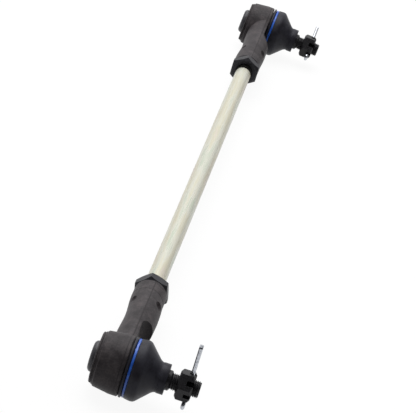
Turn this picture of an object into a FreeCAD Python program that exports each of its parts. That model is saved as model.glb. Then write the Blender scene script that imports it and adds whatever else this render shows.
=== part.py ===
import FreeCAD, Part
import math
import os

from FreeCAD import Matrix, Placement, Rotation, Vector

# Adjustable steering centre link: a plated round rod with a forged ball joint end on each side.
# Millimetres, +X along the rod to the right end, +Y along both ball studs, +Z up.
# The origin is the middle of the rod's axis. The link lies on the sides of its two drums.
# Each end is drawn once in its own frame: x from the ball centre towards the rod, y along the stud.

# Whole link
ball_spacing = 659.0
thread_play = 0.05
running_play = 0.05
rubber_play = 0.3

# Rod: 14 mm bar with M14 x 1.5 ends, left hand on one side
rod_radius = 7.0
rod_thread_radius = 6.95
rod_end_chamfer = 1.0
rod_engagement = 42.0
thread_showing = 2.0
drill_point = 3.5
bore_reserve = 6.0

# Forged housing, drum side (r from the stud axis, t along it)
shank_length = 104.5
drum_radius = 21.2
drum_land_back = -1.8
drum_land_front = 3.5
drum_back = -14.5
drum_back_radius = 19.5
drum_back_round = 0.8
flange_face = 4.3
flange_edge = 0.8
neck_radius = 17.5
neck_height = 11.5
neck_chamfer = 0.6
lip_outer_radius = 17.9
lip_inner_radius = 11.9
lip_end = -17.3
lip_round = 1.1
lip_width = 1.3
lip_groove = 0.35
band_radius = 18.4
cap_bore_radius = 15.6
cap_seat = -14.6
cavity_radius = 15.0
cavity_top = 5.5
mouth_radius = 10.2
mouth_straight = 0.9
mouth_top_radius = 12.3

# Forged housing, shank side
collar_radius = 11.95
collar_length = 14.0
collar_chamfer = 0.7
parting_height = 0.6
shank_low = 11.2
shank_high = 12.7
shank_half_width = 13.0
root_half_width = 16.5
root_low = 12.6
bulge_place = 70.0
waist_drop = 0.5
scoop_end = 41.0
scoop_ramp = 9.0
scoop_radius = 8.5
scoop_floor = 3.6
shank_root = 8.0
collar_overlap = 4.0
root_taper = 2.4
dent_place = 78.0
dent_angle = 53.0
dent_radius = 5.0
dent_depth = 2.0

# Ball stud: 22 mm ball, 1:8 taper, M12 x 1.25
ball_radius = 11.0
ball_flat = 9.2
waist_radius = 6.2
waist_end = 16.5
taper_start = 20.0
taper_end = 35.0
taper_end_radius = 7.0
taper_ratio = 8.0
relief_radius = 5.2
relief_end = 36.3
relief_slope = 1.2
stud_thread_radius = 6.0
stud_end = 55.8
stud_chamfer = 1.0

# Plastic seat, pressure plate and spring below the ball
seat_split = 3.0
seat_split_gap = 0.4
seat_wrap = 5.4
plate_hole_radius = 6.6
plate_bottom = 12.6
spring_thickness = 1.0
spring_clearance = 0.7
spring_outer_radius = cavity_radius - spring_clearance
spring_inner_radius = 8.6
spring_hole_radius = 6.9

# Pressed steel end cap
cap_thickness = 1.6
cap_dome_radius = 11.0
cap_end = 20.9
cap_corner = 3.0

# Rubber boot, its blue retaining ring and the ring in its neck
boot_wall = 1.8
boot_foot_radius = 19.3
boot_lip_radius = 21.2
boot_lip_start = 4.9
boot_lip_end = 6.3
boot_groove_radius = 19.4
ring_start = 7.1
ring_end = 8.9
ring_radius = 20.7
ring_edge = 0.3
boot_shoulder = 12.6
boot_shoulder_radius = 21.4
boot_cone_start = 16.4
boot_cone_radius = 20.4
boot_cone_end = 24.4
boot_waist_radius = 12.3
boot_flare_end = 27.6
boot_flare_radius = 10.5
boot_flare_sag = 0.35
boot_neck_radius = 10.8
boot_neck_start = 28.1
boot_neck_end = 32.8
boot_neck_round = 0.7
neck_ring_inner_radius = 8.05
neck_ring_radius = 9.5
neck_ring_start = 29.5
neck_ring_end = 31.7

# Slotted nut on the stud
nut_flats = 19.0
nut_start = 40.2
nut_height = 11.0
nut_chamfer_angle = 36.0
nut_face_share = 0.92
jam_face_share = 0.90
slot_width = 3.6
slot_depth = 5.0

# Split pin 3.2 x 40
pin_hole_radius = 1.75
pin_hole_place = 48.1
pin_radius = 1.4
pin_split = 0.2
pin_shoulder = 10.4
pin_long_leg = 40.9
pin_short_leg = 38.6
pin_bend = 2.1
eye_inner_radius = 1.85

# Jam nut on the rod
jam_flats = 23.5
jam_thickness = 9.4
bore_chamfer = 0.7

# Clock positions as the link lies: legs of the split pin, the left end about the rod, corner of the jam nut
right_pin_clock = 168.0
left_pin_clock = -67.0
right_jam_clock = 13.0
left_end_twist = 4.6
left_jam_clock = -left_end_twist


def wire_of(points):
    """Closed wire from (a, b) line ends and (am, bm, a, b) arcs through a middle point."""
    edges = []
    start = Vector(points[0][0], points[0][1], 0)
    first = start
    for step in list(points[1:]) + [(first.x, first.y)]:
        end = Vector(step[-2], step[-1], 0)
        if (end - start).Length < 1e-6:
            continue
        if len(step) == 4:
            edges.append(Part.Arc(start, Vector(step[0], step[1], 0), end).toShape())
        else:
            edges.append(Part.LineSegment(start, end).toShape())
        start = end
    return Part.Wire(edges)


def turned(points):
    """Solid turned about the stud axis from points given as radius and height along the stud."""
    face = Part.Face(wire_of(points))
    return face.revolve(Vector(0, 0, 0), Vector(0, 1, 0), 360)


def turned_on_rod(points):
    """Solid turned about the rod axis from points given as place along the rod and radius."""
    face = Part.Face(wire_of(points))
    return face.revolve(Vector(0, 0, 0), Vector(1, 0, 0), 360)


def prism(points, half_depth):
    """Solid with its outline in the plane of rod and stud, centred on that plane."""
    face = Part.Face(wire_of(points))
    solid = face.extrude(Vector(0, 0, 2 * half_depth))
    solid.translate(Vector(0, 0, -half_depth))
    return solid


def taper_radius(height):
    """Radius of the stud's taper at a height along the stud."""
    return taper_end_radius + (taper_end - height) / (2 * taper_ratio)


def hexagon(flats, length):
    """Hexagonal bar from z = 0 along +Z with a corner towards +X."""
    corner = flats / math.sqrt(3)
    points = [Vector(corner * math.cos(math.radians(60 * i)), corner * math.sin(math.radians(60 * i)), 0)
              for i in range(7)]
    return Part.Face(Part.makePolygon(points)).extrude(Vector(0, 0, length))


def chamfered_hexagon(flats, length, face_share):
    """Hexagonal bar whose corners are turned off at both ends, as on a machined nut."""
    corner = flats / math.sqrt(3)
    face_radius = 0.5 * flats * face_share
    drop = (corner - face_radius) * math.tan(math.radians(nut_chamfer_angle))
    outline = [Vector(0, 0, 0), Vector(face_radius, 0, 0), Vector(corner, 0, drop),
               Vector(corner, 0, length - drop), Vector(face_radius, 0, length), Vector(0, 0, length),
               Vector(0, 0, 0)]
    blank = Part.Face(Part.makePolygon(outline)).revolve(Vector(0, 0, 0), Vector(0, 0, 1), 360)
    return hexagon(flats, length).common(blank)


def shank_section(place, low, high, half_width):
    """Forged section across the rod: two arcs that meet in a slight ridge at the parting plane."""
    right = Vector(place, parting_height, half_width)
    left = Vector(place, parting_height, -half_width)
    upper = Part.Arc(right, Vector(place, high, 0), left).toShape()
    lower = Part.Arc(left, Vector(place, -low, 0), right).toShape()
    return Part.Wire([upper, lower])


def rod_bore(radius, play):
    """Blind threaded bore in the shank, as a plain cylinder with a drill point."""
    depth = shank_length - rod_engagement - bore_reserve
    reach = radius + play
    return turned_on_rod([
        (depth - drill_point, 0),
        (depth, reach),
        (shank_length - bore_chamfer, reach),
        (shank_length + bore_chamfer, reach + 2 * bore_chamfer),
        (shank_length + bore_chamfer, 0),
    ])


def make_housing():
    """Forged drum and shank in one piece, with its lip already rolled over the end cap."""
    drum = turned([
        (0, lip_end),
        (lip_outer_radius - lip_round, lip_end),
        (lip_outer_radius - 0.3 * lip_round, lip_end + 0.3 * lip_round,
         lip_outer_radius, lip_end + lip_round),
        (lip_outer_radius, lip_end + lip_width),
        (lip_outer_radius - lip_groove, lip_end + lip_width + 0.5 * lip_groove),
        (band_radius, lip_end + lip_width + 2 * lip_groove),
        (band_radius, drum_back),
        (drum_back_radius - drum_back_round, drum_back),
        (drum_back_radius, drum_back + drum_back_round),
        (drum_radius, drum_land_back),
        (drum_radius, drum_land_front),
        (drum_radius - flange_edge, flange_face),
        (neck_radius, flange_face),
        (neck_radius, neck_height - neck_chamfer),
        (neck_radius - neck_chamfer, neck_height),
        (0, neck_height),
    ])
    collar_start = shank_length - collar_length
    sections = [
        shank_section(shank_root, root_low, shank_low, root_half_width),
        shank_section(drum_radius + 1.0, root_low - 0.5 * root_taper, shank_low, root_half_width - root_taper),
        shank_section(scoop_end, shank_low, shank_low + 0.6, shank_half_width + 0.3),
        shank_section(bulge_place, shank_low - waist_drop, shank_high, shank_half_width),
        shank_section(collar_start, collar_radius - 0.1, collar_radius - 0.1, collar_radius - 0.1),
        shank_section(collar_start + collar_overlap, collar_radius - 0.4, collar_radius - 0.4,
                      collar_radius - 0.4),
    ]
    shank = Part.makeLoft(sections, True, False)
    collar = turned_on_rod([
        (collar_start, 0),
        (collar_start, collar_radius - 0.5 * collar_chamfer),
        (collar_start + collar_chamfer, collar_radius),
        (shank_length - collar_chamfer, collar_radius),
        (shank_length, collar_radius - collar_chamfer),
        (shank_length, 0),
    ])
    reach = 2 * drum_radius
    ramp_top = scoop_end + scoop_ramp
    scoop = prism([
        (-reach, scoop_floor),
        (scoop_end, scoop_floor),
        (scoop_end + 0.72 * scoop_ramp, scoop_floor + 0.31 * scoop_radius,
         ramp_top, scoop_floor + scoop_radius),
        (ramp_top, reach),
        (-reach, reach),
    ], reach)
    shank = shank.cut(scoop)
    dent_reach = collar_radius + dent_radius - dent_depth
    for turn in (dent_angle, 180 - dent_angle, 180 + dent_angle, -dent_angle):
        dent = Part.makeSphere(dent_radius, Vector(dent_place, 0, dent_reach))
        dent.rotate(Vector(0, 0, 0), Vector(1, 0, 0), turn)
        shank = shank.cut(dent)
    body = drum.fuse([shank, collar]).removeSplitter()
    cavity = turned([
        (0, lip_end - 1.0),
        (lip_inner_radius, lip_end - 1.0),
        (lip_inner_radius, cap_seat - cap_thickness),
        (cap_bore_radius, cap_seat - cap_thickness),
        (cap_bore_radius, cap_seat),
        (cavity_radius, cap_seat),
        (cavity_radius, cavity_top),
        (mouth_radius, cavity_top),
        (mouth_radius, cavity_top + mouth_straight),
        (mouth_top_radius, neck_height + 0.1),
        (0, neck_height + 0.1),
    ])
    return body.cut(cavity).cut(rod_bore(rod_thread_radius, thread_play))


def make_ball_seat():
    """Upper seat ring of acetal that wraps the ball above its middle."""
    inner = ball_radius + running_play
    low = -seat_split + 0.5 * seat_split_gap
    outer = cavity_radius - running_play
    low_radius = math.sqrt(inner ** 2 - low ** 2)
    high_radius = math.sqrt(inner ** 2 - seat_wrap ** 2)
    middle = math.sqrt(inner ** 2 - 1.0)
    return turned([
        (low_radius, low),
        (outer, low),
        (outer, seat_wrap),
        (high_radius, seat_wrap),
        (middle, 1.0, low_radius, low),
    ])


def make_pressure_plate():
    """Lower seat that the spring presses against the ball, with a hole for grease."""
    inner = ball_radius + running_play
    high = -seat_split - 0.5 * seat_split_gap
    outer = cavity_radius - running_play
    high_radius = math.sqrt(inner ** 2 - high ** 2)
    hole_edge = -math.sqrt(inner ** 2 - plate_hole_radius ** 2)
    middle_radius = 0.5 * (high_radius + plate_hole_radius)
    middle = -math.sqrt(inner ** 2 - middle_radius ** 2)
    return turned([
        (high_radius, high),
        (outer, high),
        (outer, -plate_bottom),
        (plate_hole_radius, -plate_bottom),
        (plate_hole_radius, hole_edge),
        (middle_radius, middle, high_radius, high),
    ])


def make_preload_spring():
    """Conical disc spring between the pressure plate and the end cap's rim."""
    bottom = -cap_seat
    return turned([
        (spring_hole_radius, -plate_bottom),
        (spring_inner_radius, -plate_bottom),
        (spring_outer_radius, -bottom + 0.5 * spring_thickness),
        (spring_outer_radius, -bottom),
        (spring_outer_radius - 1.2, -bottom),
        (spring_hole_radius, -plate_bottom - spring_thickness),
    ])


def make_end_cap():
    """Pressed steel cap: a flat rim under the rolled lip and a domed middle that stands out."""
    outer = cap_bore_radius - running_play
    inner_dome = cap_dome_radius - cap_thickness
    floor = cap_end - cap_thickness
    round_in = cap_corner - cap_thickness + 0.4
    reach = cap_corner * (1 - math.sqrt(0.5))
    reach_in = round_in * (1 - math.sqrt(0.5))
    return turned([
        (0, -cap_end),
        (cap_dome_radius - cap_corner, -cap_end),
        (cap_dome_radius - reach, -cap_end + reach, cap_dome_radius, -cap_end + cap_corner),
        (cap_dome_radius, cap_seat - cap_thickness),
        (outer, cap_seat - cap_thickness),
        (outer, cap_seat),
        (inner_dome, cap_seat),
        (inner_dome, -floor + round_in),
        (inner_dome - reach_in, -floor + reach_in, inner_dome - round_in, -floor),
        (0, -floor),
    ])


def make_boot():
    """Rubber dust boot: foot on the housing's neck, groove for its ring, cone and thick neck."""
    foot = neck_radius + running_play
    bottom = flange_face + rubber_play
    slope = math.atan2(boot_cone_radius - boot_waist_radius, boot_cone_end - boot_cone_start)
    side = boot_wall / math.cos(slope)
    inner_shoulder = boot_shoulder_radius - boot_wall
    inner_top = boot_neck_start + 0.9
    inner_waist = taper_radius(inner_top) + rubber_play
    flare_middle = 0.5 * (boot_cone_end + boot_flare_end)
    flare_radius = 0.5 * (boot_waist_radius + boot_flare_radius) - boot_flare_sag
    return turned([
        (foot, bottom),
        (boot_foot_radius, bottom),
        (boot_foot_radius, boot_lip_start),
        (boot_lip_radius - 0.3, boot_lip_start),
        (boot_lip_radius, boot_lip_start + 0.3),
        (boot_lip_radius, boot_lip_end - 0.2),
        (boot_groove_radius, ring_start - running_play),
        (boot_groove_radius, ring_end + running_play),
        (boot_cone_radius, ring_end + running_play),
        (boot_lip_radius, ring_end + 0.8),
        (boot_shoulder_radius, boot_shoulder),
        (boot_shoulder_radius, boot_shoulder + 2.0),
        (boot_cone_radius, boot_cone_start),
        (boot_waist_radius, boot_cone_end),
        (flare_radius, flare_middle, boot_flare_radius, boot_flare_end),
        (boot_neck_radius, boot_neck_start),
        (boot_neck_radius, boot_neck_end - boot_neck_round),
        (boot_neck_radius - boot_neck_round, boot_neck_end),
        (taper_radius(boot_neck_end) + rubber_play, boot_neck_end),
        (taper_radius(neck_ring_end) + rubber_play, neck_ring_end + running_play),
        (neck_ring_radius + running_play, neck_ring_end + running_play),
        (neck_ring_radius + running_play, neck_ring_start - running_play),
        (taper_radius(neck_ring_start) + rubber_play, neck_ring_start - running_play),
        (inner_waist, inner_top),
        (boot_flare_radius - boot_wall, boot_flare_end - 0.5 * boot_wall),
        (boot_waist_radius - side, boot_cone_end),
        (inner_shoulder - 0.6, boot_cone_start - 0.4),
        (inner_shoulder, boot_shoulder + 2.0),
        (inner_shoulder, neck_height + 1.0),
        (foot, neck_height),
    ])


def make_boot_ring():
    """Blue plastic retaining ring in the groove of the boot."""
    inner = boot_groove_radius + running_play
    return turned([
        (inner, ring_start),
        (ring_radius - ring_edge, ring_start),
        (ring_radius, ring_start + ring_edge),
        (ring_radius, ring_end - ring_edge),
        (ring_radius - ring_edge, ring_end),
        (inner, ring_end),
    ])


def make_boot_neck_ring():
    """Steel ring in the groove inside the boot's neck that holds it on the stud."""
    return turned([
        (neck_ring_inner_radius, neck_ring_start),
        (neck_ring_radius, neck_ring_start),
        (neck_ring_radius, neck_ring_end),
        (neck_ring_inner_radius, neck_ring_end),
    ])


def make_ball_stud(pin_clock):
    """Ball, waist, 1:8 taper, thread relief and thread in one forging, drilled for the pin."""
    flat_radius = math.sqrt(ball_radius ** 2 - ball_flat ** 2)
    waist_start = math.sqrt(ball_radius ** 2 - waist_radius ** 2)
    thread_start = relief_end + stud_thread_radius - relief_radius
    stud = turned([
        (0, -ball_flat),
        (flat_radius, -ball_flat),
        (ball_radius, 0, waist_radius, waist_start),
        (waist_radius, waist_end),
        (taper_radius(taper_start), taper_start),
        (taper_end_radius, taper_end),
        (relief_radius, taper_end + relief_slope),
        (relief_radius, relief_end),
        (stud_thread_radius, thread_start),
        (stud_thread_radius, stud_end - stud_chamfer),
        (stud_thread_radius - stud_chamfer, stud_end),
        (0, stud_end),
    ])
    return stud.cut(across_stud(pin_hole_radius, pin_clock))


def across_stud(radius, clock):
    """Cylinder through the stud at the split pin's place."""
    reach = 2 * stud_thread_radius
    tool = Part.makeCylinder(radius, 2 * reach, Vector(0, pin_hole_place, -reach), Vector(0, 0, 1))
    tool.rotate(Vector(0, 0, 0), Vector(0, 1, 0), clock)
    return tool


def make_castle_nut(pin_clock):
    """Slotted hexagon nut: six slots centred on the flats, one pair in line with the pin."""
    blank = chamfered_hexagon(nut_flats, nut_height, nut_face_share)
    hole = Part.makeCylinder(stud_thread_radius + thread_play, nut_height)
    nut = blank.cut(hole)
    for turn in (0, 60, 120):
        slot = Part.makeBox(2 * nut_flats, slot_width, slot_depth,
                            Vector(-nut_flats, -0.5 * slot_width, nut_height - slot_depth))
        slot.rotate(Vector(0, 0, 0), Vector(0, 0, 1), turn + 30)
        nut = nut.cut(slot)
    nut.rotate(Vector(0, 0, 0), Vector(0, 0, 1), 30)
    nut.rotate(Vector(0, 0, 0), Vector(1, 0, 0), -90)
    nut.translate(Vector(0, nut_start, 0))
    nut.rotate(Vector(0, 0, 0), Vector(0, 1, 0), pin_clock + 90)
    return nut


def make_cotter_pin(pin_clock):
    """Split pin bent from half round wire: two straight legs, one longer, and a round eye."""
    half = 0.5 * pin_split
    rise = math.sqrt((eye_inner_radius + pin_bend) ** 2 - (half + pin_bend) ** 2)
    swing = math.atan2(rise, half + pin_bend)
    centre = Vector(0, 0, -pin_shoulder - rise)
    turn = Vector(-half - pin_bend, 0, -pin_shoulder)
    join = turn + Vector(math.cos(swing), 0, -math.sin(swing)) * pin_bend
    bend = turn + Vector(math.cos(0.5 * swing), 0, -math.sin(0.5 * swing)) * pin_bend
    tip_long = Vector(-half, 0, pin_long_leg - pin_shoulder)
    tip_short = Vector(half, 0, pin_short_leg - pin_shoulder)
    shoulder = Vector(-half, 0, -pin_shoulder)
    bottom = centre + Vector(0, 0, -eye_inner_radius)
    mirror = lambda p: Vector(-p.x, p.y, p.z)
    path = Part.Wire([
        Part.LineSegment(tip_long, shoulder).toShape(),
        Part.Arc(shoulder, bend, join).toShape(),
        Part.Arc(join, bottom, mirror(join)).toShape(),
        Part.Arc(mirror(join), mirror(bend), mirror(shoulder)).toShape(),
        Part.LineSegment(mirror(shoulder), tip_short).toShape(),
    ])
    flat_a = tip_long + Vector(0, pin_radius, 0)
    flat_b = tip_long + Vector(0, -pin_radius, 0)
    outside = tip_long + Vector(-pin_radius, 0, 0)
    section = Part.Wire([
        Part.LineSegment(flat_a, flat_b).toShape(),
        Part.Arc(flat_b, outside, flat_a).toShape(),
    ])
    sweep = Part.BRepOffsetAPI.MakePipeShell(path)
    sweep.setBiNormalMode(Vector(0, 1, 0))
    sweep.add(section, False, False)
    sweep.build()
    sweep.makeSolid()
    pin = sweep.shape()
    pin.translate(Vector(0, pin_hole_place, 0))
    pin.rotate(Vector(0, 0, 0), Vector(0, 1, 0), pin_clock)
    return pin


def make_jam_nut(clock):
    """Thin hexagon nut locked against the collar."""
    blank = chamfered_hexagon(jam_flats, jam_thickness, jam_face_share)
    reach = rod_thread_radius + thread_play
    hole = Part.makeCylinder(reach, jam_thickness)
    nut = blank.cut(hole)
    for end in (0, jam_thickness):
        mouth = Part.makeCone(reach + bore_chamfer, reach, bore_chamfer)
        if end:
            mouth.rotate(Vector(0, 0, 0), Vector(1, 0, 0), 180)
            mouth.translate(Vector(0, 0, end))
        nut = nut.cut(mouth)
    nut.rotate(Vector(0, 0, 0), Vector(0, 1, 0), 90)
    nut.rotate(Vector(0, 0, 0), Vector(1, 0, 0), -clock)
    nut.translate(Vector(shank_length, 0, 0))
    return nut


def make_rod():
    """Plated bar between the jam nuts with a thread on each end, hidden in the housings."""
    half = 0.5 * ball_spacing
    smooth = half - shank_length - jam_thickness - thread_showing
    end = half - shank_length + rod_engagement
    profile = [
        (-end, 0),
        (-end, rod_thread_radius - rod_end_chamfer),
        (-end + rod_end_chamfer, rod_thread_radius),
        (-smooth, rod_thread_radius),
        (-smooth, rod_radius),
        (smooth, rod_radius),
        (smooth, rod_thread_radius),
        (end - rod_end_chamfer, rod_thread_radius),
        (end, rod_thread_radius - rod_end_chamfer),
        (end, 0),
    ]
    return turned_on_rod(profile)


def make_end(pin_clock, jam_clock):
    """All pieces of one ball joint end in the end's own frame."""
    return {
        "housing": make_housing(),
        "ball_seat": make_ball_seat(),
        "pressure_plate": make_pressure_plate(),
        "preload_spring": make_preload_spring(),
        "end_cap": make_end_cap(),
        "boot": make_boot(),
        "boot_ring": make_boot_ring(),
        "boot_neck_ring": make_boot_neck_ring(),
        "ball_stud": make_ball_stud(pin_clock),
        "castle_nut": make_castle_nut(pin_clock),
        "cotter_pin": make_cotter_pin(pin_clock),
        "jam_nut": make_jam_nut(jam_clock),
    }


def placed(shape, side):
    """Shape of an end moved to its side: the right end turned round, the left one clocked on the rod."""
    copy = shape.copy()
    if side > 0:
        copy.rotate(Vector(0, 0, 0), Vector(0, 1, 0), 180)
    else:
        copy.rotate(Vector(0, 0, 0), Vector(1, 0, 0), -left_end_twist)
    copy.translate(Vector(side * 0.5 * ball_spacing, 0, 0))
    return copy


def main():
    """Builds every piece and writes one file for each."""
    os.makedirs("parts", exist_ok=True)
    nodes = {"rod": make_rod()}
    for name, side, pin_clock, jam_clock in (
        ("right", 1, right_pin_clock, right_jam_clock),
        ("left", -1, left_pin_clock, left_jam_clock),
    ):
        for piece, shape in make_end(pin_clock, jam_clock).items():
            nodes[name + "_" + piece] = placed(shape, side)
    for node, shape in nodes.items():
        print(node, shape.ShapeType, len(shape.Solids), shape.isValid(), round(shape.Volume, 1))
        shape.exportStep("parts/" + node + ".step")


main()
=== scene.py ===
import math

import bmesh
import bpy
from mathutils import Matrix, Vector


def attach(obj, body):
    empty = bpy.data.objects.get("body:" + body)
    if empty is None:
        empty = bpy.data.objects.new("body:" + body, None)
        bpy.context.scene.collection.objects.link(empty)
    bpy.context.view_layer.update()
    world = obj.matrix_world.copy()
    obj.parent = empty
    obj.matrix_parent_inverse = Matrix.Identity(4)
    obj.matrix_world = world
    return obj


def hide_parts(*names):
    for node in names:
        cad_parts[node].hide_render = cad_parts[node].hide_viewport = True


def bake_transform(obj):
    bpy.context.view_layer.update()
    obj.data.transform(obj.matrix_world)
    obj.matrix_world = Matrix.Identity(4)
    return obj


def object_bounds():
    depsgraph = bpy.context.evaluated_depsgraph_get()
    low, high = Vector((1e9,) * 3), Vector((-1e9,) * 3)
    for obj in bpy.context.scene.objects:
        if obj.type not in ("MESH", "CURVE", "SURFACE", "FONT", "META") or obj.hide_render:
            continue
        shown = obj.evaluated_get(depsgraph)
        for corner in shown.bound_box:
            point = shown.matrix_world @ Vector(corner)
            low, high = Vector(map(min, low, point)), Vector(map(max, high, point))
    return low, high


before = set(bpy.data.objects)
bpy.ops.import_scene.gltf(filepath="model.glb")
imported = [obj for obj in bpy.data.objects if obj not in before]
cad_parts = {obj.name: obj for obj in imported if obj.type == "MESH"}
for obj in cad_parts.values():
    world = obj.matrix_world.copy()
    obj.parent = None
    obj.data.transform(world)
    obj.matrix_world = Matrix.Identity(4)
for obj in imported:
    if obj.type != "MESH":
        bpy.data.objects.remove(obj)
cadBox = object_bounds()
print("frame loaded with", len(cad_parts), "parts")

mm = 0.001
rodAxis = Vector((1, 0, 0))
ends = {"right": 1, "left": -1}
ballSpacing = 659.0  # between the two ball centres
endTwist = {"right": 0.0, "left": -4.6}  # degrees that each end is clocked about the rod
endTurns = {side: Matrix.Rotation(math.radians(endTwist[side]), 3, rodAxis) for side in ends}
studAxes = {side: endTurns[side] @ Vector((0, 1, 0)) for side in ends}
upAxes = {side: endTurns[side] @ Vector((0, 0, 1)) for side in ends}


def ballCentre(side):
    return Vector((ends[side] * 0.5 * ballSpacing * mm, 0, 0))


# ---- materials


def linear(hexColour):
    # sRGB hex to the linear values that the shaders want
    values = []
    for i in (1, 3, 5):
        c = int(hexColour[i:i + 2], 16) / 255
        values.append(c / 12.92 if c <= 0.04045 else ((c + 0.055) / 1.055) ** 2.4)
    return (*values, 1.0)


def addNode(tree, kind, inputs=None, **settings):
    # adds a node, sets its options, then its sockets: a socket is linked and a plain value is set
    node = tree.nodes.new(kind)
    for name, value in settings.items():
        setattr(node, name, value)
    for name, value in (inputs or {}).items():
        if isinstance(value, bpy.types.NodeSocket):
            tree.links.new(value, node.inputs[name])
        else:
            node.inputs[name].default_value = value
    return node


def newMaterial(name):
    material = bpy.data.materials.new(name)
    material.use_nodes = True
    tree = material.node_tree
    tree.nodes.clear()
    output = addNode(tree, "ShaderNodeOutputMaterial")
    place = addNode(tree, "ShaderNodeTexCoord").outputs["Object"]
    return material, tree, output, place


def rampOf(tree, factor, stops):
    ramp = addNode(tree, "ShaderNodeValToRGB", {"Fac": factor})
    points = ramp.color_ramp.elements
    while len(points) < len(stops):
        points.new(0.5)
    for point, (position, colour) in zip(points, stops):
        point.position = position
        point.color = linear(colour)
    return ramp.outputs["Color"]


forging = {"dark": "#353133", "mid": "#474345", "light": "#5e5859", "grain": 1.1, "scale": 9.0,
           "roughness": 0.48, "bump": 0.10,
           "seamPlace": 1.5, "seamWidth": 0.5, "seamDepth": 0.16, "gloss": 0.12}


def phosphatedForging(side):
    # drop forged steel, shot blasted and phosphated: charcoal, even, with a fine pitted skin
    material, tree, output, place = newMaterial(side + "PhosphatedForging")
    cloud = addNode(tree, "ShaderNodeTexNoise", {"Vector": place, "Scale": 1000 / forging["scale"],
                                                 "Detail": 4.0, "Roughness": 0.6})
    grit = addNode(tree, "ShaderNodeTexNoise", {"Vector": place, "Scale": 1000 / forging["grain"],
                                                "Detail": 3.0, "Roughness": 0.65})
    mixed = addNode(tree, "ShaderNodeMix", {0: 0.35, 2: cloud.outputs["Fac"], 3: grit.outputs["Fac"]})
    # the trimmed flash leaves a thin darker seam where the dies met, across the stud's axis
    turned = addNode(tree, "ShaderNodeMapping", {"Vector": place,
                                                 "Rotation": (-math.radians(endTwist[side]), 0, 0)})
    offset = addNode(tree, "ShaderNodeSeparateXYZ", {0: turned.outputs[0]}).outputs["Y"]
    beside = addNode(tree, "ShaderNodeMath", {0: offset, 1: forging["seamPlace"] * mm},
                     operation="SUBTRACT")
    width = addNode(tree, "ShaderNodeMath", {0: beside.outputs[0]}, operation="ABSOLUTE").outputs[0]
    flash = addNode(tree, "ShaderNodeMapRange", {"Value": width,
                                                 "From Min": 0.3 * forging["seamWidth"] * mm,
                                                 "From Max": forging["seamWidth"] * mm,
                                                 "To Min": -forging["seamDepth"], "To Max": 0.0})
    seamed = addNode(tree, "ShaderNodeMath", {0: mixed.outputs[0], 1: flash.outputs[0]}, operation="ADD")
    colour = rampOf(tree, seamed.outputs[0], [(0.36, forging["dark"]), (0.5, forging["mid"]),
                                              (0.66, forging["light"])])
    rough = addNode(tree, "ShaderNodeMapRange", {"Value": cloud.outputs["Fac"],
                                                 "From Min": 0.3, "From Max": 0.7,
                                                 "To Min": forging["roughness"] - 0.05,
                                                 "To Max": forging["roughness"] + 0.08})
    bump = addNode(tree, "ShaderNodeBump", {"Height": grit.outputs["Fac"], "Strength": 0.5,
                                            "Distance": forging["bump"] * mm})
    shader = addNode(tree, "ShaderNodeBsdfPrincipled", {"Base Color": colour, "Metallic": 0.0, "IOR": 1.5,
                                                        "Specular IOR Level": forging["gloss"],
                                                        "Roughness": rough.outputs[0],
                                                        "Normal": bump.outputs["Normal"]})
    tree.links.new(shader.outputs[0], output.inputs["Surface"])
    return material


capSteel = {"dark": "#454448", "light": "#5a595e", "grain": 0.6, "roughness": 0.40, "gloss": 0.3}


def phosphatedSheet():
    # pressed sheet steel, phosphated: smoother and a little darker than the forging
    material, tree, output, place = newMaterial("phosphatedSheet")
    grit = addNode(tree, "ShaderNodeTexNoise", {"Vector": place, "Scale": 1000 / capSteel["grain"],
                                                "Detail": 3.0})
    colour = rampOf(tree, grit.outputs["Fac"], [(0.35, capSteel["dark"]), (0.7, capSteel["light"])])
    bump = addNode(tree, "ShaderNodeBump", {"Height": grit.outputs["Fac"], "Strength": 0.3,
                                            "Distance": 0.02 * mm})
    shader = addNode(tree, "ShaderNodeBsdfPrincipled", {"Base Color": colour, "IOR": 1.5,
                                                        "Specular IOR Level": capSteel["gloss"],
                                                        "Roughness": capSteel["roughness"],
                                                        "Normal": bump.outputs["Normal"]})
    tree.links.new(shader.outputs[0], output.inputs["Surface"])
    return material


bootRubberLook = {"dark": "#2c2b32", "light": "#3b3b43", "cloud": 6.0, "grain": 0.35, "roughness": 0.42,
                  "gloss": 0.13}


def mouldedChloroprene():
    # moulded chloroprene: black with a slight blue bloom and a soft satin gloss
    material, tree, output, place = newMaterial("mouldedChloroprene")
    cloud = addNode(tree, "ShaderNodeTexNoise", {"Vector": place, "Scale": 1000 / bootRubberLook["cloud"],
                                                 "Detail": 3.0})
    grain = addNode(tree, "ShaderNodeTexNoise", {"Vector": place, "Scale": 1000 / bootRubberLook["grain"],
                                                 "Detail": 2.0})
    colour = rampOf(tree, cloud.outputs["Fac"], [(0.35, bootRubberLook["dark"]),
                                                 (0.68, bootRubberLook["light"])])
    rough = addNode(tree, "ShaderNodeMapRange", {"Value": cloud.outputs["Fac"],
                                                 "From Min": 0.3, "From Max": 0.7,
                                                 "To Min": bootRubberLook["roughness"] - 0.06,
                                                 "To Max": bootRubberLook["roughness"] + 0.06})
    bump = addNode(tree, "ShaderNodeBump", {"Height": grain.outputs["Fac"], "Strength": 0.25,
                                            "Distance": 0.02 * mm})
    shader = addNode(tree, "ShaderNodeBsdfPrincipled", {"Base Color": colour, "IOR": 1.52,
                                                        "Specular IOR Level": bootRubberLook["gloss"],
                                                        "Roughness": rough.outputs[0],
                                                        "Normal": bump.outputs["Normal"]})
    tree.links.new(shader.outputs[0], output.inputs["Surface"])
    return material


ringNylonLook = {"dark": "#2358c0", "light": "#3f78e2", "cloud": 4.0, "roughness": 0.28}


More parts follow.
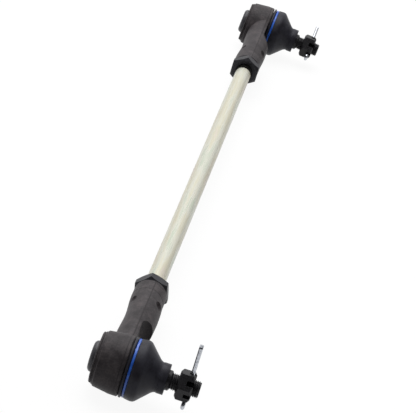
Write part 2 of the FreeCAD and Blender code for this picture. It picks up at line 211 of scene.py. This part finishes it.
def mouldedNylon():
    # injection moulded nylon, coloured through: saturated blue with a soft gloss
    material, tree, output, place = newMaterial("mouldedNylon")
    cloud = addNode(tree, "ShaderNodeTexNoise", {"Vector": place, "Scale": 1000 / ringNylonLook["cloud"],
                                                 "Detail": 2.0})
    colour = rampOf(tree, cloud.outputs["Fac"], [(0.3, ringNylonLook["dark"]),
                                                 (0.7, ringNylonLook["light"])])
    shader = addNode(tree, "ShaderNodeBsdfPrincipled", {"Base Color": colour, "IOR": 1.53,
                                                        "Roughness": ringNylonLook["roughness"]})
    tree.links.new(shader.outputs[0], output.inputs["Surface"])
    return material


zincLook = {"straw": "#d5d1b9", "pale": "#dad9cc", "green": "#c8d1bd", "rose": "#d6cbc2",
            "bandLength": 60.0, "bandWidth": 5.0, "drawLine": 1.1,
            "drawLength": 40.0, "drawShare": 0.35, "roughness": 0.30}


def yellowZinc():
    # drawn bar, zinc plated with a yellow passivate: pale straw with faint green and rose bloom
    material, tree, output, place = newMaterial("yellowZinc")
    stretch = addNode(tree, "ShaderNodeMapping", {"Vector": place,
                                                  "Scale": (1000 / zincLook["bandLength"],
                                                            1000 / zincLook["bandWidth"],
                                                            1000 / zincLook["bandWidth"])})
    bloom = addNode(tree, "ShaderNodeTexNoise", {"Vector": stretch.outputs[0], "Scale": 1.0, "Detail": 3.0,
                                                 "Roughness": 0.55})
    # the draw lines are about 0.2 mm apart and drawn five times as coarse, so that they show
    lines = addNode(tree, "ShaderNodeMapping", {"Vector": place, "Scale": (1000 / zincLook["drawLength"],
                                                                           1000 / zincLook["drawLine"],
                                                                           1000 / zincLook["drawLine"])})
    drawn = addNode(tree, "ShaderNodeTexNoise", {"Vector": lines.outputs[0], "Scale": 1.0, "Detail": 2.0})
    streaks = addNode(tree, "ShaderNodeMix", {0: zincLook["drawShare"], 2: bloom.outputs["Fac"],
                                              3: drawn.outputs["Fac"]})
    colour = rampOf(tree, streaks.outputs[0], [(0.34, zincLook["green"]), (0.45, zincLook["pale"]),
                                               (0.55, zincLook["straw"]), (0.66, zincLook["rose"])])
    bump = addNode(tree, "ShaderNodeBump", {"Height": drawn.outputs["Fac"], "Strength": 0.35,
                                            "Distance": 0.02 * mm})
    rough = addNode(tree, "ShaderNodeMapRange", {"Value": bloom.outputs["Fac"],
                                                 "From Min": 0.3, "From Max": 0.7,
                                                 "To Min": zincLook["roughness"] - 0.05,
                                                 "To Max": zincLook["roughness"] + 0.07})
    shader = addNode(tree, "ShaderNodeBsdfPrincipled", {"Base Color": colour, "Metallic": 0.3,
                                                        "Roughness": rough.outputs[0],
                                                        "Normal": bump.outputs["Normal"]})
    tree.links.new(shader.outputs[0], output.inputs["Surface"])
    return material


oxideLook = {"grain": 0.8, "gloss": 0.2, "metal": 0.1}


def blackOxide(name, dark, light, roughness):
    # machined steel, black oxide in oil: near black with a dull metal sheen
    material, tree, output, place = newMaterial(name)
    grit = addNode(tree, "ShaderNodeTexNoise", {"Vector": place, "Scale": 1000 / oxideLook["grain"],
                                                "Detail": 3.0})
    colour = rampOf(tree, grit.outputs["Fac"], [(0.35, dark), (0.68, light)])
    rough = addNode(tree, "ShaderNodeMapRange", {"Value": grit.outputs["Fac"],
                                                 "From Min": 0.3, "From Max": 0.7,
                                                 "To Min": roughness - 0.06, "To Max": roughness + 0.06})
    bump = addNode(tree, "ShaderNodeBump", {"Height": grit.outputs["Fac"], "Strength": 0.25,
                                            "Distance": 0.015 * mm})
    shader = addNode(tree, "ShaderNodeBsdfPrincipled", {"Base Color": colour,
                                                        "Metallic": oxideLook["metal"],
                                                        "Specular IOR Level": oxideLook["gloss"],
                                                        "Roughness": rough.outputs[0],
                                                        "Normal": bump.outputs["Normal"]})
    tree.links.new(shader.outputs[0], output.inputs["Surface"])
    return material


brightLook = {"dark": "#8f9299", "light": "#d3d6dc", "grain": 1.2, "roughness": 0.24}


def brightZinc():
    # drawn wire, bright zinc plated: pale blue-white metal
    material, tree, output, place = newMaterial("brightZinc")
    grit = addNode(tree, "ShaderNodeTexNoise", {"Vector": place, "Scale": 1000 / brightLook["grain"],
                                                "Detail": 2.0})
    colour = rampOf(tree, grit.outputs["Fac"], [(0.3, brightLook["dark"]), (0.7, brightLook["light"])])
    bump = addNode(tree, "ShaderNodeBump", {"Height": grit.outputs["Fac"], "Strength": 0.2,
                                            "Distance": 0.01 * mm})
    shader = addNode(tree, "ShaderNodeBsdfPrincipled", {"Base Color": colour, "Metallic": 1.0,
                                                        "Roughness": brightLook["roughness"],
                                                        "Normal": bump.outputs["Normal"]})
    tree.links.new(shader.outputs[0], output.inputs["Surface"])
    return material


springLook = {"dark": "#5c5c5f", "light": "#85868a", "grain": 0.9, "roughness": 0.35}


def oiledSpringSteel():
    # hardened strip, oiled: mid grey metal with a faint bloom
    material, tree, output, place = newMaterial("oiledSpringSteel")
    grit = addNode(tree, "ShaderNodeTexNoise", {"Vector": place, "Scale": 1000 / springLook["grain"],
                                                "Detail": 2.0})
    colour = rampOf(tree, grit.outputs["Fac"], [(0.3, springLook["dark"]), (0.7, springLook["light"])])
    shader = addNode(tree, "ShaderNodeBsdfPrincipled", {"Base Color": colour, "Metallic": 1.0,
                                                        "Roughness": springLook["roughness"]})
    tree.links.new(shader.outputs[0], output.inputs["Surface"])
    return material


acetalLook = {"dark": "#ddd9cc", "light": "#ece9df", "cloud": 5.0, "roughness": 0.38}


def naturalAcetal():
    # moulded acetal without pigment: waxy off-white
    material, tree, output, place = newMaterial("naturalAcetal")
    cloud = addNode(tree, "ShaderNodeTexNoise", {"Vector": place, "Scale": 1000 / acetalLook["cloud"],
                                                 "Detail": 2.0})
    colour = rampOf(tree, cloud.outputs["Fac"], [(0.3, acetalLook["dark"]), (0.7, acetalLook["light"])])
    shader = addNode(tree, "ShaderNodeBsdfPrincipled", {"Base Color": colour, "IOR": 1.48,
                                                        "Roughness": acetalLook["roughness"]})
    tree.links.new(shader.outputs[0], output.inputs["Surface"])
    return material


forgedSkins = {side: phosphatedForging(side) for side in ends}
capSkin = phosphatedSheet()
bootRubber = mouldedChloroprene()
ringNylon = mouldedNylon()
rodZinc = yellowZinc()
# the rod's threads are coloured near black, far darker than the plated bar they are cut on
rodThreadNearBlack = blackOxide("nearBlackRodThread", "#1b1b1a", "#2e2e2b", 0.36)
jamOxide = blackOxide("blackOxideJamNut", "#303033", "#444449", 0.40)
nutOxide = blackOxide("blackOxideNut", "#1f1e20", "#343336", 0.42)
studOxide = blackOxide("phosphatedStud", "#252427", "#3a393c", 0.38)
pinZinc = brightZinc()
springSteel = oiledSpringSteel()
seatAcetal = naturalAcetal()
print("materials made")

nodeFinish = {"ball_seat": seatAcetal, "pressure_plate": seatAcetal,
              "preload_spring": springSteel, "end_cap": capSkin, "boot": bootRubber, "boot_ring": ringNylon,
              "boot_neck_ring": springSteel, "ball_stud": studOxide, "castle_nut": nutOxide,
              "cotter_pin": pinZinc, "jam_nut": jamOxide}
for side in ends:
    nodeFinish["housing"] = forgedSkins[side]
    for piece, material in nodeFinish.items():
        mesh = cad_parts[side + "_" + piece].data
        mesh.materials.clear()
        mesh.materials.append(material)
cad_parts["rod"].data.materials.clear()
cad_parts["rod"].data.materials.append(rodZinc)


# ---- turned pieces


def spinOutline(bm, outline, centre, axis, across, steps):
    # closed outline of (radius, place along the axis) in mm, spun all the way round
    verts = [bm.verts.new(centre + (axis * along + across * radius) * mm) for radius, along in outline]
    edges = [bm.edges.new((a, b)) for a, b in zip(verts, verts[1:])]
    if outline[0][0] > 0 or outline[-1][0] > 0:
        edges.append(bm.edges.new((verts[-1], verts[0])))
    bmesh.ops.spin(bm, geom=verts + edges, cent=centre, axis=axis, dvec=(0, 0, 0), angle=2 * math.pi,
                   steps=steps, use_merge=True, use_duplicate=False)
    bmesh.ops.remove_doubles(bm, verts=bm.verts[:], dist=1e-6)
    bmesh.ops.recalc_face_normals(bm, faces=bm.faces[:])


def softenEdges(bm, angle, width, segments):
    # rounds every edge that turns by more than the angle
    sharp = [e for e in bm.edges if len(e.link_faces) == 2 and e.calc_face_angle(0) > math.radians(angle)]
    bmesh.ops.bevel(bm, geom=sharp, offset=width * mm, offset_type="OFFSET", segments=segments, profile=0.5,
                    affect="EDGES", clamp_overlap=True, material=-1)


def finishPiece(bm, name, material, sharpAngle=35):
    mesh = bpy.data.meshes.new(name)
    bm.to_mesh(mesh)
    bm.free()
    mesh.materials.append(material)
    mesh.shade_smooth()
    mesh.set_sharp_from_angle(angle=math.radians(sharpAngle))
    piece = bpy.data.objects.new(name, mesh)
    bpy.context.scene.collection.objects.link(piece)
    return piece


threadDepth = 0.6134  # height of an ISO metric thread as a share of its pitch


def cutThread(bm, centre, axis, across, start, end, radius, pitch, chamfer, hand, steps=40):
    # one tooth of the profile climbs round the bar, is trimmed flat at both ends and chamfered at the tip
    depth = threadDepth * pitch
    tooth = ((0, depth), (0.25, depth), (0.5625, 0), (0.6875, 0), (1, depth))
    first = start - 1.5 * pitch
    turns = math.ceil((end - start) / pitch) + 3
    verts = [bm.verts.new(centre + (axis * (first + at * pitch) + across * (radius - drop)) * mm)
             for at, drop in tooth]
    edges = [bm.edges.new((a, b)) for a, b in zip(verts, verts[1:])]
    bmesh.ops.spin(bm, geom=verts + edges, cent=centre, axis=axis, dvec=axis * (pitch * mm / steps),
                   angle=hand * 2 * math.pi * turns, steps=steps * turns, use_merge=False,
                   use_duplicate=False)
    bmesh.ops.remove_doubles(bm, verts=bm.verts[:], dist=4e-6)
    for place, outward in ((start, -1), (end, 1)):
        bmesh.ops.bisect_plane(bm, geom=bm.verts[:] + bm.edges[:] + bm.faces[:], dist=1e-7,
                               plane_co=centre + axis * place * mm, plane_no=axis * outward,
                               clear_outer=True)
        rim = [e for e in bm.edges if e.is_boundary
               and all(abs((v.co - centre).dot(axis) - place * mm) < 1e-6 for v in e.verts)]
        bmesh.ops.holes_fill(bm, edges=rim, sides=0)
    for vert in bm.verts:
        along = (vert.co - centre).dot(axis) / mm
        spoke = (vert.co - centre) - axis * along * mm
        limit = (radius - (along - (end - chamfer))) * mm
        if along > end - chamfer and spoke.length > limit:
            vert.co = centre + axis * along * mm + spoke.normalized() * limit
    bmesh.ops.recalc_face_normals(bm, faces=bm.faces[:])


def drillThrough(piece, cutter):
    # the cutter is a loose mesh that takes its shape out of the piece
    cut = piece.modifiers.new("drilled", "BOOLEAN")
    cut.operation = "DIFFERENCE"
    cut.solver = "EXACT"
    cut.object = cutter
    drilled = bpy.data.meshes.new_from_object(piece.evaluated_get(bpy.context.evaluated_depsgraph_get()))
    piece.modifiers.clear()
    piece.data = drilled
    bpy.data.objects.remove(cutter)


def joinPieces(main, others):
    # adds the meshes of the other pieces to the main piece
    bm = bmesh.new()
    for part in [main] + others:
        finish = part.data.materials[0]
        if finish.name not in main.data.materials:
            main.data.materials.append(finish)
        before = len(bm.faces)
        bm.from_mesh(part.data)
        bm.faces.ensure_lookup_table()
        for face in bm.faces[before:]:
            face.material_index = main.data.materials.find(finish.name)
    bm.to_mesh(main.data)
    bm.free()
    for part in others:
        bpy.data.objects.remove(part)
    main.data.shade_smooth()
    main.data.set_sharp_from_angle(angle=math.radians(35))


# ---- rod

rodBar = {"radius": 7.0, "smoothHalf": 208.6, "threadEnd": 267.0, "threadRadius": 6.95, "pitch": 1.5,
          "chamfer": 1.0, "edge": 0.5}


def makeRod():
    bm = bmesh.new()
    reach = rodBar["smoothHalf"]
    radius, edge = rodBar["radius"], rodBar["edge"]
    outline = [(0, -reach), (radius - edge, -reach), (radius, edge - reach), (radius, reach - edge),
               (radius - edge, reach), (0, reach)]
    spinOutline(bm, outline, Vector((0, 0, 0)), rodAxis, Vector((0, 0, 1)), 96)
    bar = finishPiece(bm, "rodBar", rodZinc)
    threads = []
    for sign, hand in ((1, 1), (-1, -1)):  # right-hand thread on the right, left-hand on the left
        bm = bmesh.new()
        cutThread(bm, Vector((0, 0, 0)), rodAxis * sign, Vector((0, 0, 1)),
                  rodBar["smoothHalf"] - rodBar["edge"], rodBar["threadEnd"],
                  rodBar["threadRadius"], rodBar["pitch"], rodBar["chamfer"], hand * sign)
        threads.append(finishPiece(bm, "rodThread", rodThreadNearBlack))
    joinPieces(bar, threads)
    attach(bar, "center_rod")
    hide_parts("rod")
    return bar


makeRod()
print("rod made")


# ---- ball studs

studForm = {"ball": 11.0, "flat": 9.2, "waist": 6.2, "waistEnd": 16.5, "taperStart": 20.0, "taperEnd": 35.0,
            "taperEndRadius": 7.0, "taperRatio": 8.0, "relief": 5.2, "reliefStart": 36.2,
            "thread": 6.0, "threadStart": 36.7, "end": 55.8, "chamfer": 1.0, "pitch": 1.25,
            "pinHole": 1.75, "pinPlace": 48.1, "drillLength": 30.0, "lap": 0.4}
pinClock = {"right": -12.0, "left": -67.0}  # legs of the split pin, degrees from straight up towards +X


def makeBallStud(side):
    s = studForm
    centre = ballCentre(side)
    studAxis = studAxes[side]
    across = upAxes[side]
    low = math.asin(s["flat"] / s["ball"])
    high = math.acos(s["waist"] / s["ball"])
    ball = [(s["ball"] * math.cos(a), s["ball"] * math.sin(a))
            for a in [-low + (high + low) * i / 24 for i in range(25)]]
    big = s["taperEndRadius"] + (s["taperEnd"] - s["taperStart"]) / (2 * s["taperRatio"])
    outline = [(0, -s["flat"])] + ball + [(s["waist"], s["waistEnd"]), (big, s["taperStart"]),
                                          (s["taperEndRadius"], s["taperEnd"]),
                                          (s["relief"], s["reliefStart"]),
                                          (s["relief"], s["threadStart"] + s["lap"]),
                                          (0, s["threadStart"] + s["lap"])]
    bm = bmesh.new()
    spinOutline(bm, outline, centre, studAxis, across, 72)
    stud = finishPiece(bm, side + "BallStud", studOxide)
    bm = bmesh.new()
    cutThread(bm, centre, studAxis, across, s["threadStart"], s["end"], s["thread"], s["pitch"],
              s["chamfer"], 1)
    thread = finishPiece(bm, side + "StudThread", studOxide)
    bm = bmesh.new()
    turn = (Matrix.Rotation(math.radians(pinClock[side]), 4, studAxis)
            @ Matrix.Rotation(math.radians(endTwist[side]), 4, rodAxis))
    bmesh.ops.create_cone(bm, cap_ends=True, segments=24, radius1=s["pinHole"] * mm,
                          radius2=s["pinHole"] * mm, depth=s["drillLength"] * mm,
                          matrix=Matrix.Translation(centre + studAxis * s["pinPlace"] * mm) @ turn)
    drillThrough(thread, finishPiece(bm, side + "Drill", studOxide))
    joinPieces(stud, [thread])
    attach(stud, side + "_stud_body")
    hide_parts(side + "_ball_stud")
    return stud


for side in ends:
    makeBallStud(side)
print("ball studs made")


# ---- dust boots

bootForm = {"foot": 17.55, "bottom": 4.6, "footRadius": 19.3, "lipStart": 4.9, "lipEnd": 6.3, "lip": 21.2,
            "groove": 19.4, "grooveStart": 7.05, "grooveEnd": 8.95, "rim": 20.9, "shoulder": 12.6,
            "shoulderRadius": 21.4, "coneStart": 16.4, "coneRadius": 20.4, "coneEnd": 24.4, "waist": 12.3,
            "flareEnd": 27.6, "flareRadius": 10.5, "flareSag": 0.35, "neckRadius": 10.8, "neckStart": 28.1,
            "neckEnd": 32.8, "wall": 1.8, "mouth": 7.45, "mouthInner": 7.68, "innerHigh": 14.6,
            "innerLow": 12.5, "footTop": 11.55}


def makeBoot(side):
    b = bootForm
    shoulder = [(b["shoulderRadius"], b["shoulder"]), (b["shoulderRadius"], b["shoulder"] + 1.4),
                (b["shoulderRadius"] - 0.2, b["shoulder"] + 2.5),
                (b["coneRadius"] + 0.1, b["coneStart"] - 0.1)]
    steps = 8
    cone = [(b["coneRadius"] + (b["waist"] - b["coneRadius"]) * i / steps,
             b["coneStart"] + (b["coneEnd"] - b["coneStart"]) * i / steps) for i in range(steps + 1)]
    flare = []
    for i in range(1, 7):
        k = i / 6
        sag = 4 * b["flareSag"] * k * (1 - k)
        flare.append((b["waist"] + (b["flareRadius"] - b["waist"]) * k - sag,
                      b["coneEnd"] + (b["flareEnd"] - b["coneEnd"]) * k))
    inner = [(r - 1.4 * b["wall"], t - 0.2) for r, t in cone[1:]]
    outline = [(b["foot"], b["bottom"]), (b["footRadius"], b["bottom"]), (b["footRadius"], b["lipStart"]),
               (b["lip"], b["lipStart"]), (b["lip"], b["lipEnd"]), (b["groove"], b["grooveStart"]),
               (b["groove"], b["grooveEnd"]), (b["rim"], b["grooveEnd"] + 0.05)]
    outline += shoulder + cone[1:] + flare
    outline += [(b["neckRadius"], b["neckStart"]), (b["neckRadius"], b["neckEnd"]),
                (b["mouth"], b["neckEnd"]), (b["mouthInner"], b["neckStart"] + 0.9),
                (b["flareRadius"] - b["wall"], b["flareEnd"] - 0.9)]
    outline += inner[::-1]
    outline += [(b["shoulderRadius"] - b["wall"], b["innerHigh"]),
                (b["shoulderRadius"] - b["wall"], b["innerLow"]), (b["foot"], b["footTop"])]
    centre = ballCentre(side)
    bm = bmesh.new()
    spinOutline(bm, outline, centre, studAxes[side], upAxes[side], 112)
    softenEdges(bm, 22, 0.28, 2)
    boot = finishPiece(bm, side + "DustBoot", bootRubber, 60)
    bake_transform(boot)
    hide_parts(side + "_boot")
    return boot


for side in ends:
    makeBoot(side)
print("dust boots made")


# ---- floor, light and camera

floorHeight = cadBox[0][2] - 0.0001


paper = {"dark": "#a6a6a6", "light": "#acacac", "glow": 1.16, "glowShare": 0.80}


def studioWhite():
    # pale paper floor: mostly a white of its own where it is seen, so its shadow stays faint
    material, tree, output, place = newMaterial("studioWhite")
    fibre = addNode(tree, "ShaderNodeTexNoise", {"Vector": place, "Scale": 900.0,
                                                 "Detail": 2.0})
    colour = rampOf(tree, fibre.outputs["Fac"], [(0.3, paper["dark"]), (0.7, paper["light"])])
    sheet = addNode(tree, "ShaderNodeBsdfDiffuse", {"Color": colour})
    glow = addNode(tree, "ShaderNodeEmission", {"Color": (1, 1, 1, 1), "Strength": paper["glow"]})
    path = addNode(tree, "ShaderNodeLightPath")
    seen = addNode(tree, "ShaderNodeMath", {0: path.outputs["Is Camera Ray"],
                                            1: path.outputs["Is Glossy Ray"]}, operation="MAXIMUM")
    seenToo = addNode(tree, "ShaderNodeMath", {0: seen.outputs[0], 1: path.outputs["Is Transmission Ray"]},
                      operation="MAXIMUM")
    share = addNode(tree, "ShaderNodeMath", {0: seenToo.outputs[0], 1: paper["glowShare"]},
                    operation="MULTIPLY")
    mixed = addNode(tree, "ShaderNodeMixShader", {0: share.outputs[0], 1: sheet.outputs[0],
                                                  2: glow.outputs[0]})
    tree.links.new(mixed.outputs[0], output.inputs["Surface"])
    return material


def makeFloor():
    bm = bmesh.new()
    bmesh.ops.create_grid(bm, x_segments=1, y_segments=1, size=6.0,
                          matrix=Matrix.Translation((0, 0, floorHeight)))
    floor = finishPiece(bm, "paperFloor", studioWhite())


makeFloor()

room = {"towards": (-0.66, -0.12, 0.74), "dim": 0.05, "dimBelow": 0.30, "bright": 1.0, "brightAbove": 0.92}

world = bpy.data.worlds.new("studioAir")
bpy.context.scene.world = world
world.use_nodes = True
worldTree = world.node_tree
worldTree.nodes.clear()
worldOut = addNode(worldTree, "ShaderNodeOutputWorld")
worldPath = addNode(worldTree, "ShaderNodeLightPath")
# the room is dim around the camera and bright above and behind, as before a lit backdrop
worldPlace = addNode(worldTree, "ShaderNodeTexCoord").outputs["Generated"]
worldFacing = addNode(worldTree, "ShaderNodeVectorMath", {0: worldPlace, 1: room["towards"]},
                      operation="DOT_PRODUCT").outputs["Value"]
roomGlow = addNode(worldTree, "ShaderNodeMapRange", {"Value": worldFacing, "From Min": room["dimBelow"],
                                                     "From Max": room["brightAbove"], "To Min": room["dim"],
                                                     "To Max": room["bright"]},
                   interpolation_type="SMOOTHSTEP")
airDim = addNode(worldTree, "ShaderNodeBackground", {"Color": (1, 1, 1, 1),
                                                     "Strength": roomGlow.outputs[0]})
airWhite = addNode(worldTree, "ShaderNodeBackground", {"Color": (1, 1, 1, 1), "Strength": 1.0})
airMix = addNode(worldTree, "ShaderNodeMixShader", {0: worldPath.outputs["Is Camera Ray"],
                                                    1: airDim.outputs[0],
                                                    2: airWhite.outputs[0]})
worldTree.links.new(airMix.outputs[0], worldOut.inputs["Surface"])

lamps = {
    "overheadBox": {"place": (-0.45, -0.35, 1.45), "aim": (0.0, 0.0, 0.0), "size": 1.4, "watts": 19.0},
    "cameraFill": {"place": (1.5, 0.9, 0.9), "aim": (0.1, 0.0, 0.0), "size": 1.0, "watts": 0.5},
}


def makeLamp(name, lamp):
    light = bpy.data.lights.new(name, "AREA")
    light.shape = "SQUARE"
    light.size = lamp["size"]
    light.energy = lamp["watts"]
    holder = bpy.data.objects.new(name, light)
    holder.location = lamp["place"]
    aim = Vector(lamp["aim"]) - Vector(lamp["place"])
    holder.rotation_euler = aim.to_track_quat("-Z", "Y").to_euler()
    bpy.context.scene.collection.objects.link(holder)


for name, lamp in lamps.items():
    makeLamp(name, lamp)

viewCamera = {"place": (1593.4, 73.0, 761.9), "right": (-0.16613, 0.95085, 0.26131),
              "up": (-0.41464, -0.30779, 0.85635), "back": (0.89469, 0.03392, 0.44539), "lens": 190.13}


def makeCamera():
    data = bpy.data.cameras.new("studioCamera")
    data.sensor_fit = "HORIZONTAL"
    data.sensor_width = 36.0
    data.lens = viewCamera["lens"]
    data.clip_start = 0.05
    data.clip_end = 20.0
    camera = bpy.data.objects.new("studioCamera", data)
    turn = Matrix((viewCamera["right"], viewCamera["up"], viewCamera["back"])).transposed().to_4x4()
    camera.matrix_world = Matrix.Translation(Vector(viewCamera["place"]) * mm) @ turn
    bpy.context.scene.collection.objects.link(camera)
    bpy.context.scene.camera = camera


makeCamera()
bpy.context.scene.view_settings.view_transform = "Standard"
print("floor, light and camera set")
